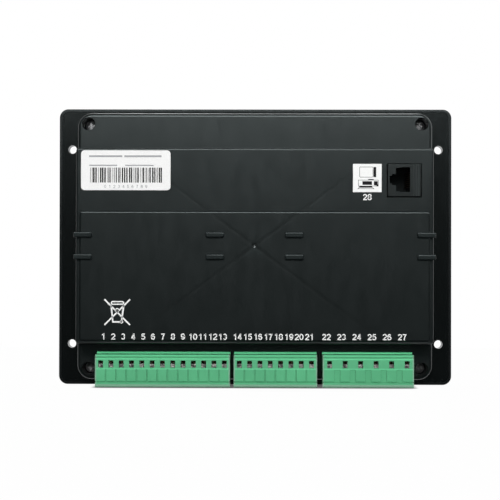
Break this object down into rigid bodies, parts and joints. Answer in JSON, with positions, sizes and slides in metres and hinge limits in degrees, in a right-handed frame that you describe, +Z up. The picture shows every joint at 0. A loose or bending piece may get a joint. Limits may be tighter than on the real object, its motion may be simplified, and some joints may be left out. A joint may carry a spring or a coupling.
{
  "type": "genset controller",
  "caption": "Panel-mounted generator controller: black moulded rear housing on a bezel, green pluggable terminals along the lower edge, network socket, display and push keys in front.",
  "frame": {"origin": "centre of the flange's rear face, where the unit meets the panel, in the middle of its four fixing holes", "axes": "+Z up, +X along the terminal row as seen from behind, -Y out of the rear with the terminals"},
  "size_m": [0.202, 0.0456, 0.1418],
  "materials": {
    "housing": "fine textured moulding",
    "bezel": "fine textured moulding",
    "overlay": "satin film",
    "window": "clear",
    "red_key": "satin",
    "green_key": "satin",
    "grey_key": "satin",
    "indicator": "translucent",
    "board": "solder mask",
    "backlight": "diffuser",
    "lcd": "display glass",
    "dark_plastic": "moulded",
    "relay": "moulded",
    "capacitor": "sleeved",
    "terminal": "satin moulding",
    "tinned": "tin plate",
    "steel": "zinc plate",
    "gold": "plated"
  },
  "bodies": {
    "controller": {"front_bezel": "bezel", "rear_housing": "housing", "housing_screws": "steel", "front_overlay": "overlay", "display_window": "window", "indicator_lights": "indicator", "display_board": "board", "lcd_backlight": "backlight", "lcd_glass": "lcd", "lcd_frame": "steel", "tact_switches": "dark_plastic", "link_socket": "dark_plastic", "link_header": "dark_plastic", "io_board": "board", "board_screws": "steel", "processor": "dark_plastic", "relays": "relay", "capacitors": "capacitor", "power_inductor": "dark_plastic", "network_socket": "dark_plastic", "socket_contacts": "gold", "output_header": "terminal", "output_pins": "tinned", "input_header": "terminal", "input_pins": "tinned", "mains_header": "terminal", "mains_pins": "tinned"},
    "stop_key": {"key_stop": "red_key"},
    "manual_key": {"key_manual": "grey_key"},
    "test_key": {"key_test": "grey_key"},
    "auto_key": {"key_auto": "grey_key"},
    "start_key": {"key_start": "green_key"},
    "up_key": {"key_up": "grey_key"},
    "enter_key": {"key_enter": "grey_key"},
    "down_key": {"key_down": "grey_key"},
    "output_connector": {"output_plug": "terminal", "output_clamps": "tinned", "output_clamp_screws": "steel", "output_contacts": "gold"},
    "input_connector": {"input_plug": "terminal", "input_clamps": "tinned", "input_clamp_screws": "steel", "input_contacts": "gold"},
    "mains_connector": {"mains_plug": "terminal", "mains_clamps": "tinned", "mains_clamp_screws": "steel", "mains_contacts": "gold"}
  },
  "joints": [
    {"name": "stop_press", "type": "slide", "parent": "controller", "child": "stop_key", "axis": [0, -1, 0], "range_m": [0, 0.0005], "stiffness_N_per_m": 800},
    {"name": "manual_press", "type": "slide", "parent": "controller", "child": "manual_key", "axis": [0, -1, 0], "range_m": [0, 0.0005], "stiffness_N_per_m": 800},
    {"name": "test_press", "type": "slide", "parent": "controller", "child": "test_key", "axis": [0, -1, 0], "range_m": [0, 0.0005], "stiffness_N_per_m": 800},
    {"name": "auto_press", "type": "slide", "parent": "controller", "child": "auto_key", "axis": [0, -1, 0], "range_m": [0, 0.0005], "stiffness_N_per_m": 800},
    {"name": "start_press", "type": "slide", "parent": "controller", "child": "start_key", "axis": [0, -1, 0], "range_m": [0, 0.0005], "stiffness_N_per_m": 800},
    {"name": "up_press", "type": "slide", "parent": "controller", "child": "up_key", "axis": [0, -1, 0], "range_m": [0, 0.0005], "stiffness_N_per_m": 800},
    {"name": "enter_press", "type": "slide", "parent": "controller", "child": "enter_key", "axis": [0, -1, 0], "range_m": [0, 0.0005], "stiffness_N_per_m": 800},
    {"name": "down_press", "type": "slide", "parent": "controller", "child": "down_key", "axis": [0, -1, 0], "range_m": [0, 0.0005], "stiffness_N_per_m": 800},
    {"name": "output_unplug", "type": "slide", "parent": "controller", "child": "output_connector", "axis": [0, -1, 0], "range_m": [0, 0.012]},
    {"name": "input_unplug", "type": "slide", "parent": "controller", "child": "input_connector", "axis": [0, -1, 0], "range_m": [0, 0.012]},
    {"name": "mains_unplug", "type": "slide", "parent": "controller", "child": "mains_connector", "axis": [0, -1, 0], "range_m": [0, 0.012]}
  ]
}
